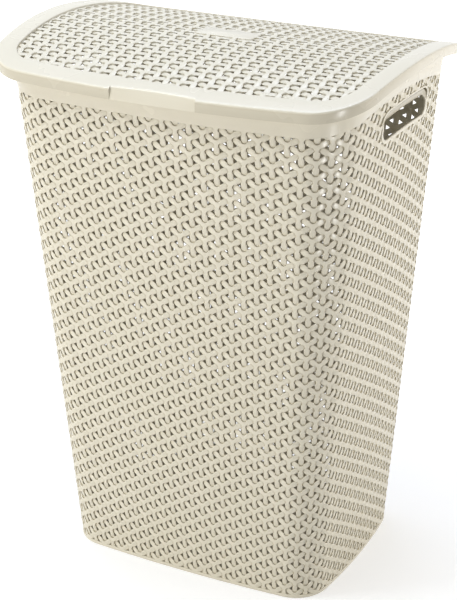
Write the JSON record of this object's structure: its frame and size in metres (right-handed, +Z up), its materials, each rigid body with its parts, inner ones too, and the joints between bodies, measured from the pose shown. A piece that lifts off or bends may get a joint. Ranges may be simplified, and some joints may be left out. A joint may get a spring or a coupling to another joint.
{
  "type": "laundry_hamper",
  "caption": "Tall tapered laundry hamper with a wicker-look pierced wall, two carrying slots and an arched lid that opens on two snap hinges at the back.",
  "frame": {"origin": "middle of the footprint, on the floor", "axes": "+Z up, -Y towards the lid's tab (front), +Y towards the hinges, X from side to side"},
  "size_m": [0.4494, 0.3374, 0.606],
  "materials": {
    "moulded_plastic": "satin"
  },
  "bodies": {
    "basket_body": {"basket": "moulded_plastic"},
    "lid_body": {"lid": "moulded_plastic"}
  },
  "joints": [
    {"name": "lid_hinge", "type": "hinge", "parent": "basket_body", "child": "lid_body", "pos_m": [0, 0.16073, 0.55452], "axis": [-1, 0, 0], "range_deg": [0, 105]}
  ]
}
